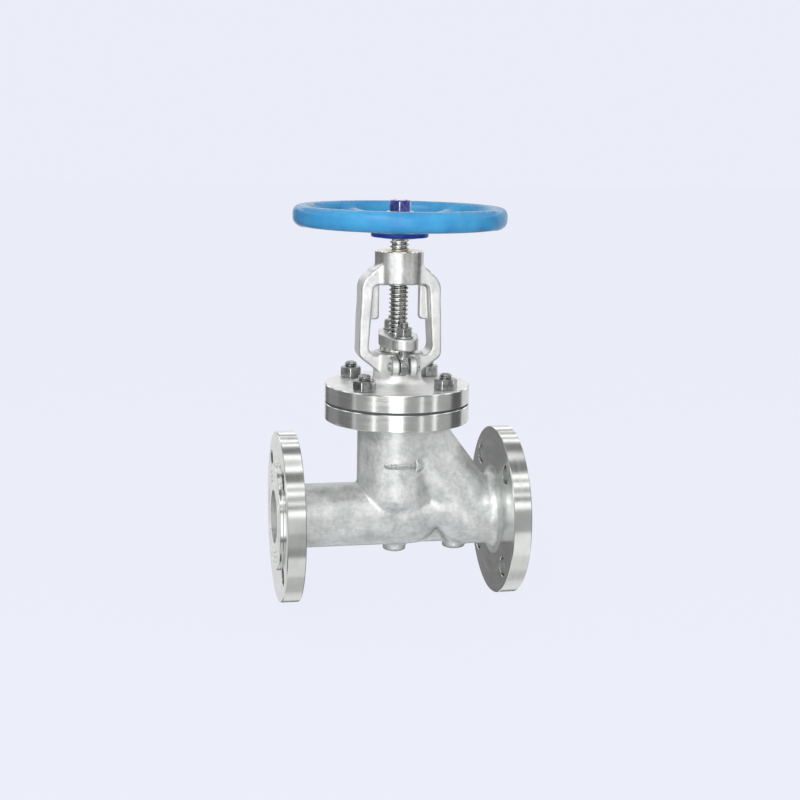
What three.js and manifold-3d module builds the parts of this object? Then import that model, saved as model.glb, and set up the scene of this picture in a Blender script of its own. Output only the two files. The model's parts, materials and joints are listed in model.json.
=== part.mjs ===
// DN 50 globe valve with flanged ends, an outside-screw yoke and a rising, turning stem.
// Millimetres, +Z up. X follows the pipe from inlet to outlet, the stem stands on the Z axis,
// and the origin is where the two axes cross. The valve is closed.
import * as THREE from "three";
import { mergeVertices } from "three/addons/utils/BufferGeometryUtils.js";
import Module from "manifold-3d";

const wasm = await Module();
wasm.setup();

// Pipe connection
const FACE_TO_FACE = 230;
const END_FLANGE_R = 80;
const END_FLANGE_T = 17;
const RAISED_FACE_R = 50;
const RAISED_FACE_T = 3;
const BOLT_CIRCLE_R = 62.5;
const BOLT_HOLE_R = 9;
const BORE_R = 25;
const PIPE_R = 30;
const OUTLET_PIPE_R = 31.5;
const FLANGE_FILLET = [10, 4, 1.5, 5];

// Heights above the pipe axis
const BOWL_Z = 9.5;
const FLOOR_Z = 30;
const SEAT_Z = 33;
const BACKSEAT_Z = 83.5;
const BODY_FLANGE_Z = [91.5, 107.2];
const SPIGOT_Z = 100.5;
const GASKET_Z = [107.4, 108.8];
const BONNET_FLANGE_Z = [109, 125];
const STUFFING_FLOOR_Z = 115;
const NECK_TOP_Z = 155;
const EYE_Z = 144.8;
const WINDOW_Z = [153, 218.5];
const GLAND_FLANGE_Z = [160.5, 171.5];
const GLAND_STUD_TOP_Z = 186.5;
const HEAD_TOP_Z = 248.5;
const HUB_Z = [260.8, 282.2];
const RIM_Z = [270.5, 289];
const STEM_TOP_Z = 294.6;

// Body
const BOWL_R = 36.5;
const BOWL_FILLET = 15;
const CHAMBER_R = 31;
const SEAT_BORE_R = 22;
const SEAT_LIP = 3.5;
const INLET_OUT_END = 42;
const INLET_IN_END = 33;
const PASSAGE_DIR = [0.6, 0, -0.8];
const PASSAGE_OUT = { radius: 32.8, end: [68.9, 0, 2], length: 95 };
const PASSAGE_IN = { radius: 21, end: [76, 0, 2], length: 52 };
const UNDER_BOSSES = [[0, -36], [58, -35.5]];
const UNDER_BOSS_R = 11;
const WEB = { x: [20, 56], y: [-4, 4], z: [-29.5, -5] };

// Bonnet, yoke and bonnet fasteners
const BONNET_FLANGE_R = 67.5;
const NECK_R = 22.5;
const BACKSEAT_R = 16;
const YOKE_DEPTH = 27;
const WINDOW_HALF = [29.6, 26.2];
const WINDOW_CORNERS = [8, 6];
const RIB = { x: [18.8, 31], bottom: 185.2, corner: 3, thick: 8 };
const EAR = { x: [4.6, 12], radius: 8 };
const EYE_SLOT_Y = [19.8, 40];
const STUD_CIRCLE_R = 53;
const STUD_R = 6;
const STUD_UP = 15.5;
const NUT_FLATS = 19;
const NUT_TURNS = [12, 20, 5, 0];
const QUARTERS = [45, 135, 225, 315];

// Stem, disc, gland and handwheel
const STEM_R = 9;
const STEM_SQUARE_HALF = 6.25;
const WHEEL_NUT_FLATS = 19;
const WHEEL_NUT_TURN = 16;
const WHEEL_STUD_R = 6;
const STEM_NUT_R = 14;
const SET_SCREW = { radius: 2.2, length: 9, turn: -60 };
const DISC = { radius: 27, thick: 8, bossR: 17, boreR: 12.4, top: 59 };
const BUTTON_Z = [45.4, 51.6];
const STUFFING_BOX_R = 14.2;
const PACKING_RINGS = 4;
const PACKING_RING_H = 6.4;
const PACKING_WASHER_T = 2;
const GLAND_BOLT_Y = 28;
const GLAND_BOLT_R = 4;
const GLAND_MIDDLE_R = 18;
const GLAND_END_R = 13;
const EYE_R = 7.5;
const EYE_HALF_T = 4;
const PIN_R = 4;
const PIN_HALF = 14.5;
const WHEEL_R = 98;
const RIM_HALF = 8;
const HUB_DISC_R = 26.5;
const HUB_R = 17;
const SPOKES = 5;
const SPOKE_PHASE = 42;
const SPOKE_W = 14;
const SPOKE_SIDE = [[10, 266], [86, 273.5], [86, 283], [10, 278]];

// Clearances and facets
const GAP = 0.3;
const SEAM = 0.2;
const CUT = 1;
const ROUND = 48;
const SMALL = 20;
const TINY = 12;

const FINISH = {
  castSteel: { color: 0xb9bbb8, roughness: 0.45, metalness: 0.9 },
  machined: { color: 0xc8cacb, roughness: 0.25, metalness: 1 },
  fastener: { color: 0xa9acb0, roughness: 0.2, metalness: 1 },
  brass: { color: 0xb08d4f, roughness: 0.35, metalness: 1 },
  graphite: { color: 0x2b2c2e, roughness: 0.7, metalness: 0.1 },
  blueEnamel: { color: 0x2f7fc6, roughness: 0.25, metalness: 0 },
};

// A manifold-3d solid of a closed three.js geometry.
function solid(geometry) {
  const bare = geometry.index ? geometry.toNonIndexed() : geometry.clone();
  bare.deleteAttribute("normal");
  bare.deleteAttribute("uv");
  const merged = mergeVertices(bare, 1e-4);
  return new wasm.Manifold(
    new wasm.Mesh({
      numProp: 3,
      vertProperties: merged.attributes.position.array,
      triVerts: new Uint32Array(merged.index.array),
    }),
  );
}

const join = (solids) => solids.reduce((a, b) => a.add(b));
const carve = (base, cuts) => cuts.reduce((a, b) => a.subtract(b), base);
const repeat = (count, make) => Array.from({ length: count }, (_, i) => make(i));

function onCircle(radius, degrees) {
  const a = THREE.MathUtils.degToRad(degrees);
  return [radius * Math.cos(a), radius * Math.sin(a)];
}

// Points of a circular arc in a profile, angles in degrees.
function arc(x, y, radius, from, to, steps = 5) {
  return repeat(steps + 1, (i) => {
    const [dx, dy] = onCircle(radius, from + ((to - from) * i) / steps);
    return [x + dx, y + dy];
  });
}

const vectors = (points) => points.map(([x, y]) => new THREE.Vector2(x, y));

// A profile of [radius, height] points turned about Z.
function lathed(profile, segments = ROUND) {
  return new THREE.LatheGeometry(vectors(profile), segments).rotateX(Math.PI / 2);
}

const turned = (profile, segments) => solid(lathed(profile, segments));
const turnedX = (profile) => solid(lathed(profile).rotateY(Math.PI / 2));

// A plain disc or shaft about Z, standing at x, y.
function shaft(radius, z0, z1, x = 0, y = 0, segments = SMALL) {
  const profile = [[0, z0], [radius, z0], [radius, z1], [0, z1]];
  return solid(lathed(profile, segments).translate(x, y, 0));
}

// A ring about Z, standing at x, y.
function ring(inner, outer, z0, z1, x = 0, y = 0, segments = ROUND) {
  const profile = [[outer, z0], [outer, z1], [inner, z1], [inner, z0], [outer, z0]];
  return solid(lathed(profile, segments).translate(x, y, 0));
}

function block(x, y, z) {
  const middle = [x, y, z].map(([a, b]) => (a + b) / 2);
  const size = [x, y, z].map(([a, b]) => b - a);
  return solid(new THREE.BoxGeometry(...size).translate(...middle));
}

// A rod from one point to another.
function rod(radius, from, to, segments = SMALL) {
  const a = new THREE.Vector3(...from);
  const along = new THREE.Vector3(...to).sub(a);
  const middle = a.addScaledVector(along, 0.5);
  const g = new THREE.CylinderGeometry(radius, radius, along.length(), segments);
  const up = new THREE.Vector3(0, 1, 0);
  g.applyQuaternion(new THREE.Quaternion().setFromUnitVectors(up, along.normalize()));
  return solid(g.translate(...middle.toArray()));
}

function ball(radius, centre) {
  return solid(new THREE.SphereGeometry(radius, ROUND, ROUND / 2).translate(...centre));
}

// An outline in X and Z, given depth in Y and centred on the mid-plane.
function plate(shape, depth) {
  const g = new THREE.ExtrudeGeometry(shape, { depth, bevelEnabled: false });
  return solid(g.rotateX(Math.PI / 2).translate(0, depth / 2, 0));
}

// An outline in X and Y, raised along Z.
function slab(shape, z0, z1) {
  const options = { depth: z1 - z0, bevelEnabled: false };
  return solid(new THREE.ExtrudeGeometry(shape, options).translate(0, 0, z0));
}

// A hexagon nut standing on z0, with the corners of its top chamfered at 30 degrees.
function hexNut(flats, bore, z0, z1, x, y, turn) {
  const corner = flats / Math.sqrt(3);
  const hexagon = new THREE.Shape(vectors(repeat(6, (i) => onCircle(corner, 60 * i + turn))));
  const flat = flats / 2 - GAP;
  const drop = (corner - flat) * Math.tan(Math.PI / 6);
  const wide = corner + CUT;
  const cone = [[0, z0 - CUT], [wide, z0 - CUT], [wide, z1 - drop], [flat, z1], [0, z1]];
  const body = slab(hexagon, z0, z1).intersect(turned(cone, SMALL));
  return body.subtract(shaft(bore, z0 - CUT, z1 + CUT)).translate([x, y, 0]);
}

// Four clearance holes or studs for the joint of body and bonnet.
const studShafts = (radius, z0, z1) =>
  QUARTERS.map((angle) => shaft(radius, z0, z1, ...onCircle(STUD_CIRCLE_R, angle)));

// One limb of the pipe run with its flange: side is -1 at the inlet and 1 at the outlet.
function pipeEnd(side, innerEnd) {
  const face = FACE_TO_FACE / 2;
  const rim = face - RAISED_FACE_T;
  const back = rim - END_FLANGE_T;
  const [far, near, low, high] = FLANGE_FILLET;
  const pipe = side > 0 ? OUTLET_PIPE_R : PIPE_R;
  const flange = [
    [pipe, back - far],
    [PIPE_R + low, back - near],
    [PIPE_R + high, back],
    [END_FLANGE_R, back],
    [END_FLANGE_R, rim],
    [RAISED_FACE_R, rim],
    [RAISED_FACE_R, face],
    [0, face],
  ];
  if (side > 0) return turnedX([[0, innerEnd], [pipe, innerEnd], ...flange]);
  const mirrored = flange.map(([r, x]) => [r, -x]).reverse();
  return turnedX([...mirrored, ...arc(0, innerEnd - pipe, pipe, 0, 90, 9)]);
}

// The slanted limb that falls from the chamber to the outlet, outside or inside.
function slantedLimb({ radius, end, length }) {
  const top = end.map((v, i) => v - PASSAGE_DIR[i] * length);
  return join([rod(radius, top, end, ROUND), ball(radius, end)]);
}

// The water way: inlet, up through the seat, over it and down to the outlet.
function waterWay() {
  const face = FACE_TO_FACE / 2 + CUT;
  const top = BODY_FLANGE_Z[1] + CUT;
  const lip = SEAT_BORE_R + SEAT_LIP;
  const outlet = PASSAGE_IN.end[0] - 4;
  return join([
    turnedX([[0, -face], [BORE_R, -face], ...arc(0, INLET_IN_END - BORE_R, BORE_R, 0, 90, 9)]),
    shaft(SEAT_BORE_R, 0, SEAT_Z + CUT, 0, 0, ROUND),
    turned([[0, SEAT_Z], [lip, SEAT_Z], [lip, FLOOR_Z], [CHAMBER_R, FLOOR_Z], [CHAMBER_R, top], [0, top]]),
    slantedLimb(PASSAGE_IN),
    turnedX([[0, outlet], [BORE_R, outlet], [BORE_R, face], [0, face]]),
  ]);
}

function flangeBoltHoles() {
  const outer = FACE_TO_FACE / 2 + CUT;
  const inner = FACE_TO_FACE / 2 - RAISED_FACE_T - END_FLANGE_T - CUT;
  return QUARTERS.flatMap((angle) => {
    const at = onCircle(BOLT_CIRCLE_R, angle);
    return [-1, 1].map((side) => rod(BOLT_HOLE_R, [side * inner, ...at], [side * outer, ...at]));
  });
}

function bodyCasting() {
  const [z0, z1] = BODY_FLANGE_Z;
  const bowl = [
    [0, BOWL_Z],
    ...arc(BOWL_R - BOWL_FILLET, BOWL_Z + BOWL_FILLET, BOWL_FILLET, -90, 0),
    [BOWL_R, z0 - 3],
    [BOWL_R + 3, z0],
    [BONNET_FLANGE_R, z0],
    [BONNET_FLANGE_R, z1],
    [0, z1],
  ];
  const outside = join([
    turned(bowl),
    pipeEnd(-1, INLET_OUT_END),
    pipeEnd(1, PASSAGE_OUT.end[0]),
    slantedLimb(PASSAGE_OUT),
    block(WEB.x, WEB.y, WEB.z),
    ...UNDER_BOSSES.map(([x, z]) => shaft(UNDER_BOSS_R, z, z / 2, x)),
  ]);
  const stays = studShafts(STUD_R + GAP, z0 + 2, z1 + CUT);
  return carve(outside, [waterWay(), ...flangeBoltHoles(), ...stays]);
}

// The yoke in X and Z: a bottle shape, wide at the arms, with a window through it.
function yokeOutline() {
  const right = [
    [12, 131.5],
    [19.3, 137],
    [29.8, 145.3],
    ...arc(28.6, 157, 10, -47, 8),
    [38, 185],
    [37, 203],
    ...arc(19.8, 213.2, 17.2, 0, 62),
    [26, 231.3],
    [22, 233.8],
    [15, 237],
  ];
  const left = right.map(([x, z]) => [-x, z]).reverse();
  const shape = new THREE.Shape(vectors([...right, ...left]));
  const [z0, z1] = WINDOW_Z;
  const [wide, narrow] = WINDOW_HALF;
  const [low, high] = WINDOW_CORNERS;
  const window = [
    ...arc(wide - low, z0 + low, low, -90, 0),
    ...arc(narrow - high, z1 - high, high, 0, 90),
    ...arc(high - narrow, z1 - high, high, 90, 180),
    ...arc(low - wide, z0 + low, low, 180, 270),
  ];
  shape.holes.push(new THREE.Path(vectors(window)));
  return shape;
}

// A rib in the window's upper corner; side is -1 or 1 along X.
function cornerRib(side) {
  const [x0, x1] = RIB.x;
  const top = WINDOW_Z[1] + CUT;
  const corner = arc(x0 + RIB.corner, RIB.bottom + RIB.corner, RIB.corner, 180, 270, 3);
  const points = [...corner, [x1, RIB.bottom], [x1, top], [x0, top]];
  return plate(new THREE.Shape(vectors(points.map(([x, z]) => [side * x, z]))), RIB.thick);
}

// One ear of the clevis that holds an eye bolt; it grows out of the neck.
function clevisEar(sideX, sideY) {
  const x = EAR.x.map((v) => sideX * v).sort((a, b) => a - b);
  const y = [sideY * (NECK_R - EAR.radius), sideY * GLAND_BOLT_Y].sort((a, b) => a - b);
  const at = [sideY * GLAND_BOLT_Y, EYE_Z];
  return join([
    rod(EAR.radius, [x[0], ...at], [x[1], ...at]),
    block(x, y, [EYE_Z - EAR.radius, EYE_Z + EAR.radius]),
  ]);
}

function eyeSlot(sideY) {
  const y = EYE_SLOT_Y.map((v) => sideY * v).sort((a, b) => a - b);
  return block([-EAR.x[0], EAR.x[0]], y, [EYE_Z - EAR.radius - GAP, NECK_TOP_Z + CUT]);
}

// The pin's place across both ears, made larger by more.
function pinRod(sideY, more, half) {
  const at = [sideY * GLAND_BOLT_Y, EYE_Z];
  return rod(PIN_R + more, [-half, ...at], [half, ...at]);
}

function bonnetYoke() {
  const [z0, z1] = BONNET_FLANGE_Z;
  const spigot = CHAMBER_R - GAP;
  const bonnet = turned([
    [0, BACKSEAT_Z],
    [BACKSEAT_R, BACKSEAT_Z],
    [BACKSEAT_R + 2, SPIGOT_Z],
    [spigot, SPIGOT_Z],
    [spigot, z0],
    [BONNET_FLANGE_R, z0],
    [BONNET_FLANGE_R, z1],
    [NECK_R + 8.5, z1],
    [NECK_R + 6.5, z1 + 1.5],
    [NECK_R + 3, z1 + 5],
    [NECK_R, z1 + 10],
    [NECK_R, NECK_TOP_Z],
    [0, NECK_TOP_Z],
  ]);
  const sides = [-1, 1];
  const outside = join([
    bonnet,
    plate(yokeOutline(), YOKE_DEPTH),
    shaft(NECK_R, WINDOW_Z[1], HEAD_TOP_Z, 0, 0, ROUND),
    ...sides.map(cornerRib),
    ...sides.flatMap((x) => sides.map((y) => clevisEar(x, y))),
  ]);
  return carve(outside, [
    shaft(STEM_R + GAP, BACKSEAT_Z - CUT, STUFFING_FLOOR_Z + CUT),
    shaft(STUFFING_BOX_R, STUFFING_FLOOR_Z, NECK_TOP_Z + CUT, 0, 0, ROUND),
    shaft(STEM_NUT_R + GAP, WINDOW_Z[1] - CUT, HEAD_TOP_Z + CUT, 0, 0, ROUND),
    setScrew(GAP, CUT),
    ...sides.map(eyeSlot),
    ...sides.map((y) => pinRod(y, GAP, EAR.x[1] + EAR.radius)),
    ...studShafts(STUD_R + GAP, z0 - CUT, z1 + CUT),
  ]);
}

// A grub screw across the joint of the stem nut and the yoke's head.
function setScrew(more, above) {
  const [x, y] = onCircle(STEM_NUT_R, SET_SCREW.turn);
  const top = HEAD_TOP_Z - SEAM;
  return shaft(SET_SCREW.radius + more, top - SET_SCREW.length - more, top + above, x, y, TINY);
}

function stemNut() {
  const sleeve = ring(STEM_R + GAP, STEM_NUT_R, WINDOW_Z[1], HEAD_TOP_Z);
  return sleeve.subtract(setScrew(GAP, CUT));
}

function bonnetGasket() {
  const [z0, z1] = GASKET_Z;
  const whole = ring(CHAMBER_R + 2 * GAP, BONNET_FLANGE_R - 2 * GAP, z0, z1);
  return carve(whole, studShafts(STUD_R + GAP, z0 - CUT, z1 + CUT));
}

function disc() {
  const z = SEAT_Z + GAP;
  const floor = BUTTON_Z[0] - SEAM;
  return turned([
    [0, z],
    [DISC.radius - 1, z],
    [DISC.radius, z + 1],
    [DISC.radius, z + DISC.thick],
    [DISC.bossR, z + DISC.thick + 3],
    [DISC.bossR, DISC.top],
    [DISC.boreR, DISC.top],
    [DISC.boreR, floor],
    [0, floor],
  ]);
}

// It holds the stem's button in the disc, and meets the bonnet's back seat when fully open.
function discNut() {
  const bore = STEM_R + GAP;
  const thread = ring(bore, DISC.boreR - GAP, BUTTON_Z[1] + SEAM, DISC.top + CUT);
  return thread.add(hexNut(28, bore, DISC.top + SEAM, DISC.top + 5, 0, 0, 0));
}

function stem() {
  const button = DISC.boreR - 2 * GAP;
  const shoulder = HUB_Z[0] - SEAM;
  const round = turned([
    [0, BUTTON_Z[0]],
    [button, BUTTON_Z[0]],
    [button, BUTTON_Z[1]],
    [STEM_R, BUTTON_Z[1]],
    [STEM_R, shoulder],
    [0, shoulder],
  ]);
  const across = [-STEM_SQUARE_HALF, STEM_SQUARE_HALF];
  const square = block(across, across, [shoulder - CUT, HUB_Z[1] - SEAM]);
  return join([round, square, shaft(WHEEL_STUD_R, HUB_Z[1] - CUT, STEM_TOP_Z)]);
}

// Height of the underside of packing ring number index, counted from the bottom.
const packingZ = (index) =>
  STUFFING_FLOOR_Z + PACKING_WASHER_T + 2 * SEAM + index * (PACKING_RING_H + SEAM);

const packing = (z, height) => ring(STEM_R + GAP, STUFFING_BOX_R - GAP, z, z + height);

function glandBush() {
  const inner = STEM_R + GAP;
  const outer = STUFFING_BOX_R - GAP;
  const z = packingZ(PACKING_RINGS) + SEAM;
  const collar = NECK_TOP_Z + CUT;
  const top = GLAND_FLANGE_Z[0] - SEAM;
  return turned([
    [inner, z],
    [outer, z],
    [outer, collar],
    [outer + 3, collar],
    [outer + 3, top],
    [inner, top],
    [inner, z],
  ]);
}

function glandFlange() {
  const slope = Math.asin((GLAND_MIDDLE_R - GLAND_END_R) / GLAND_BOLT_Y);
  const shape = new THREE.Shape();
  shape.absarc(0, 0, GLAND_MIDDLE_R, -slope, slope);
  shape.absarc(0, GLAND_BOLT_Y, GLAND_END_R, slope, Math.PI - slope);
  shape.absarc(0, 0, GLAND_MIDDLE_R, Math.PI - slope, Math.PI + slope);
  shape.absarc(0, -GLAND_BOLT_Y, GLAND_END_R, Math.PI + slope, 2 * Math.PI - slope);
  const [z0, z1] = GLAND_FLANGE_Z;
  const boltHoles = [-GLAND_BOLT_Y, GLAND_BOLT_Y].map((y) =>
    shaft(GLAND_BOLT_R + 2 * GAP, z0 - CUT, z1 + CUT, 0, y),
  );
  return carve(slab(shape, z0, z1), [shaft(STEM_R + GAP, z0 - CUT, z1 + CUT), ...boltHoles]);
}

function eyeBolt(side) {
  const at = [side * GLAND_BOLT_Y, EYE_Z];
  const eye = rod(EYE_R, [-EYE_HALF_T, ...at], [EYE_HALF_T, ...at]);
  const shank = shaft(GLAND_BOLT_R, EYE_Z + PIN_R + CUT, GLAND_STUD_TOP_Z, 0, at[0]);
  return join([eye, shank]).subtract(pinRod(side, GAP, EYE_R));
}

// The rim's section is an oval with flattened sides.
function rimSection(steps) {
  const middle = (RIM_Z[0] + RIM_Z[1]) / 2;
  const tall = (RIM_Z[1] - RIM_Z[0]) / 2;
  const squared = (v) => Math.sign(v) * Math.abs(v) ** 0.75;
  const points = repeat(steps, (i) => {
    const [c, s] = onCircle(1, (360 * i) / steps);
    return [WHEEL_R - RIM_HALF + squared(c) * RIM_HALF, middle + squared(s) * tall];
  });
  return [...points, points[0]];
}

function spoke(degrees) {
  const options = { depth: SPOKE_W, bevelEnabled: false };
  const g = new THREE.ExtrudeGeometry(new THREE.Shape(vectors(SPOKE_SIDE)), options);
  g.rotateX(Math.PI / 2).translate(0, SPOKE_W / 2, 0);
  return solid(g.rotateZ(THREE.MathUtils.degToRad(degrees)));
}

function handwheel() {
  const [z0, z1] = HUB_Z;
  const hub = turned([
    [0, z0],
    [HUB_DISC_R, z0],
    [HUB_DISC_R, z0 + 4],
    [HUB_R + 2, z0 + 7],
    [HUB_R, z1],
    [0, z1],
  ]);
  const across = [-STEM_SQUARE_HALF - GAP, STEM_SQUARE_HALF + GAP];
  const square = block(across, across, [z0 - CUT, z1 + CUT]);
  const spokes = repeat(SPOKES, (i) => spoke(SPOKE_PHASE + (360 * i) / SPOKES));
  return join([turned(rimSection(12), 60), hub, ...spokes]).subtract(square);
}

const valve = new THREE.Group();

function place(name, made, finish) {
  const mesh = made.getMesh();
  const geometry = new THREE.BufferGeometry();
  geometry.setAttribute("position", new THREE.BufferAttribute(mesh.vertProperties, 3));
  geometry.setIndex(new THREE.BufferAttribute(mesh.triVerts, 1));
  geometry.computeVertexNormals();
  const part = new THREE.Mesh(geometry, new THREE.MeshStandardMaterial(FINISH[finish]));
  part.name = name;
  valve.add(part);
}

function placeBodyAndBonnet() {
  place("body_casting", bodyCasting(), "castSteel");
  place("bonnet_yoke", bonnetYoke(), "castSteel");
  place("bonnet_gasket", bonnetGasket(), "graphite");
  const seat = BONNET_FLANGE_Z[1];
  studShafts(STUD_R, BODY_FLANGE_Z[0] + 2 + GAP, seat + STUD_UP).forEach((stud, i) => {
    place(`bonnet_stud_${i + 1}`, stud, "fastener");
  });
  QUARTERS.forEach((angle, i) => {
    const at = onCircle(STUD_CIRCLE_R, angle);
    const nut = hexNut(NUT_FLATS, STUD_R + GAP, seat + SEAM, seat + 10, ...at, NUT_TURNS[i]);
    place(`bonnet_nut_${i + 1}`, nut, "fastener");
  });
}

function placeStuffingBox() {
  place("packing_washer", packing(STUFFING_FLOOR_Z + SEAM, PACKING_WASHER_T), "machined");
  for (let i = 0; i < PACKING_RINGS; i++) {
    place(`packing_ring_${i + 1}`, packing(packingZ(i), PACKING_RING_H), "graphite");
  }
  place("gland_bush", glandBush(), "machined");
  place("gland_flange", glandFlange(), "castSteel");
}

function placeGlandBolt(name, side) {
  const y = side * GLAND_BOLT_Y;
  const bore = GLAND_BOLT_R + GAP;
  const seat = GLAND_FLANGE_Z[1] + SEAM;
  place(`eye_bolt_${name}`, eyeBolt(side), "fastener");
  place(`eye_bolt_pin_${name}`, pinRod(side, 0, PIN_HALF), "fastener");
  place(`gland_washer_${name}`, ring(bore, 8.5, seat, seat + 1.4, 0, y, SMALL), "fastener");
  place(`gland_nut_${name}`, hexNut(14, bore, seat + 1.6, seat + 9.4, 0, y, 0), "fastener");
}

function placeStemAndWheel() {
  const top = HUB_Z[1];
  const bore = WHEEL_STUD_R + GAP;
  place("disc", disc(), "machined");
  place("disc_nut", discNut(), "machined");
  place("stem", stem(), "machined");
  place("stem_nut", stemNut(), "brass");
  place("stem_nut_set_screw", setScrew(0, 0), "fastener");
  place("handwheel", handwheel(), "blueEnamel");
  const nut = hexNut(WHEEL_NUT_FLATS, bore, top + 2, top + 12, 0, 0, WHEEL_NUT_TURN);
  place("handwheel_washer", ring(bore, 12.5, top + SEAM, top + 1.8), "fastener");
  place("handwheel_nut", nut, "fastener");
}

placeBodyAndBonnet();
placeStuffingBox();
placeGlandBolt("front", -1);
placeGlandBolt("rear", 1);
placeStemAndWheel();

export default valve;
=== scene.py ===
import json
import math

import bpy
import numpy as np
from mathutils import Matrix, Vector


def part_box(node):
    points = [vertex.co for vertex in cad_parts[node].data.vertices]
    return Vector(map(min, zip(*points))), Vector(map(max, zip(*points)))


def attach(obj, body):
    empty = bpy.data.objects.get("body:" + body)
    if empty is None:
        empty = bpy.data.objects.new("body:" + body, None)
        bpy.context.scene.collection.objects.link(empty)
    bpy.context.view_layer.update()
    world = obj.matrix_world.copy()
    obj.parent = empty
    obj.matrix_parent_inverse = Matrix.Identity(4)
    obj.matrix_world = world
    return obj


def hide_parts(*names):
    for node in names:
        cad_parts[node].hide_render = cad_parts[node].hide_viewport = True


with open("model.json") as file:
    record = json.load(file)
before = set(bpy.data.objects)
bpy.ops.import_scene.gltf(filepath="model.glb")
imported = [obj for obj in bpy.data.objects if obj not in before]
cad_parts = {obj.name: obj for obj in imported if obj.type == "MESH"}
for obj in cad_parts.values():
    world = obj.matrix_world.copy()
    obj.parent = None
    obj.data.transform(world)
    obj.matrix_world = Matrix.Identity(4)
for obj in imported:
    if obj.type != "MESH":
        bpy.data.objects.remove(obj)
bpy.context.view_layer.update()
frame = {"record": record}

import openvdb
from mathutils import Matrix, Vector

scene = bpy.context.scene
BODY_OF = {
    node: body
    for body, nodes in frame["record"]["behaviour"]["bodies"].items()
    for node in nodes
}

# Every size below is in millimetres, and the row frame has the stem on Z and the pipe on X.
MM = 0.001


def corners(node):
    """The lowest and highest corner of a CAD node, in millimetres."""
    low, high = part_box(node)
    return np.array(low) / MM, np.array(high) / MM


def round_place(node):
    """The centre's x and y and the outer radius of a round CAD node that stands on Z."""
    low, high = corners(node)
    x, y = (low + high)[:2] / 2
    return x, y, (high - low)[0] / 2


def heights(node):
    low, high = corners(node)
    return low[2], high[2]


body_low, body_high = corners("body_casting")
yoke_low, yoke_high = corners("bonnet_yoke")
wheel_low, wheel_high = corners("handwheel")

# Room left round a piece in its hole
CLEARANCE = 0.3

# Pipe connection
FACE = body_high[0]
END_FLANGE_R = -body_low[2]
RAISED_FACE_R = 50
RAISED_FACE_T = 3
END_FLANGE_T = 17
FLANGE_FRONT = FACE - RAISED_FACE_T
FLANGE_BACK = FLANGE_FRONT - END_FLANGE_T
BOLT_CIRCLE_R = 62.5
BOLT_HOLE_R = 9
BORE_R = 25
PIPE_R = 30
OUTLET_PIPE_R = 32.3
QUARTERS = [45, 135, 225, 315]

# Body
BOWL_R = 36.5
BOWL_Z = 6.5
BOWL_ROUND = 14
CHAMBER_R = 31
CHAMBER_FLOOR_Z = 30
SEAT_Z = 33
SEAT_BORE_R = 22
SEAT_LIP_R = 25.5
BODY_FLANGE_Z = [91.5, body_high[2]]
BODY_FLANGE_R = corners("bonnet_gasket")[1][0] + 0.6
LIMB_R = 32.8
LIMB_END = np.array([68.9, 0, 2])
LIMB_SLOPE = np.array([0.6, 0, -0.8])
LIMB_LENGTH = 95
LIMB_BORE_R = 21
LIMB_BORE_END = np.array([76, 0, 2])
LIMB_BORE_LENGTH = 52
SADDLE = {"x": -35, "half_x": 95, "half_y": 28.5, "z": 6, "half_z": 19.5}
END_FILLETS = [[-1, 3], [1, 11]]
UNDER_BOSSES = [[0, -36], [58, -35.5]]
UNDER_BOSS_R = 11
WEB = [(18, -4, -29.5), (58, 4, -4)]
ARROW_X = [-16, 13, 23]
ARROW_Z = 53
ARROW_HALF = 1.2
ARROW_SLOPE = 0.62
ARROW_PROUD = 1.3

# Bonnet and yoke
BONNET_FLANGE_Z = [109, 125]
NECK_R = 22.5
NECK_TOP_Z = 155
WINDOW_Z = [153, 218.5]
WINDOW_HALF = [29.6, 26.2]
HEAD_TOP_Z = yoke_high[2]
YOKE_DEPTH = 27
STEM_BORE_R = 9.3
STUFFING_BOX_R = 14.2
STUFFING_FLOOR_Z = 115
SPIGOT_Z = 100.5
STEM_NUT_R = 14
RIB_X = [18.8, 31]
RIB_BOTTOM_Z = 185.2
RIB_DEPTH = 8
EYE_Y = 28
EYE_Z = 144.8
EAR_X = [4.6, 12]
EAR_R = 8
STUD_CIRCLE_R = 53
STUD_R = 6
STUD_TURN = 83
STUD_NUT_FLATS = 19
NUT_TURNS = [12, 20, 5, 0]

# Gland, stem and handwheel
GLAND_Z = heights("gland_flange")
GLAND_MIDDLE_R = 18
GLAND_END_R = 13
GLAND_HOLE_R = 4.6
GLAND_NUT_FLATS = 14
GLAND_NUT_TURN = 14
EYE_BOLT_R = 4
EYE_BOLT_EYE_R = 7.5
EYE_BOLT_HALF = 4
EYE_PIN_HOLE_R = 4.3
EYE_SLOT_Y = [19.8, 42]
STEM_R = 9
STEM_THREAD_Z = 172
STEM_THREAD_DEPTH = 1.9
STEM_PITCH = 4.0
STEM_BUTTON_TOP = 51.6
STEM_SQUARE_HALF = 6.25
STUD_PITCH = 1.75
STUD_THREAD_DEPTH = 0.95
WHEEL_STUD_R = 6
WHEEL_NUT_TURN = 16
HUB_Z = [wheel_low[2], heights("handwheel_washer")[0] - 0.2]
HUB_SQUARE_HALF = 6.55
WHEEL_R = wheel_high[0]
RIM_HALF = 8
RIM_Z = [270.5, wheel_high[2]]
HUB_DISC_R = 26.5
HUB_R = 17
SPOKES = 5
SPOKE_PHASE = 42
SPOKE_ENDS = [8, 90]
SPOKE_RISE = [10, 88]
SPOKE_Z = [272, 278.2]
SPOKE_HALF_Z = [5.6, 4.6]
SPOKE_HALF_WIDTH = 7.0
SPOKE_WAIST = 1.6
SPOKE_CORNER = 3.2

# Voxels of the cast shapes
BODY_VOXEL = 1.0
YOKE_VOXEL = 0.8
WHEEL_VOXEL = 0.8
SMALL_VOXEL = 0.45

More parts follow.
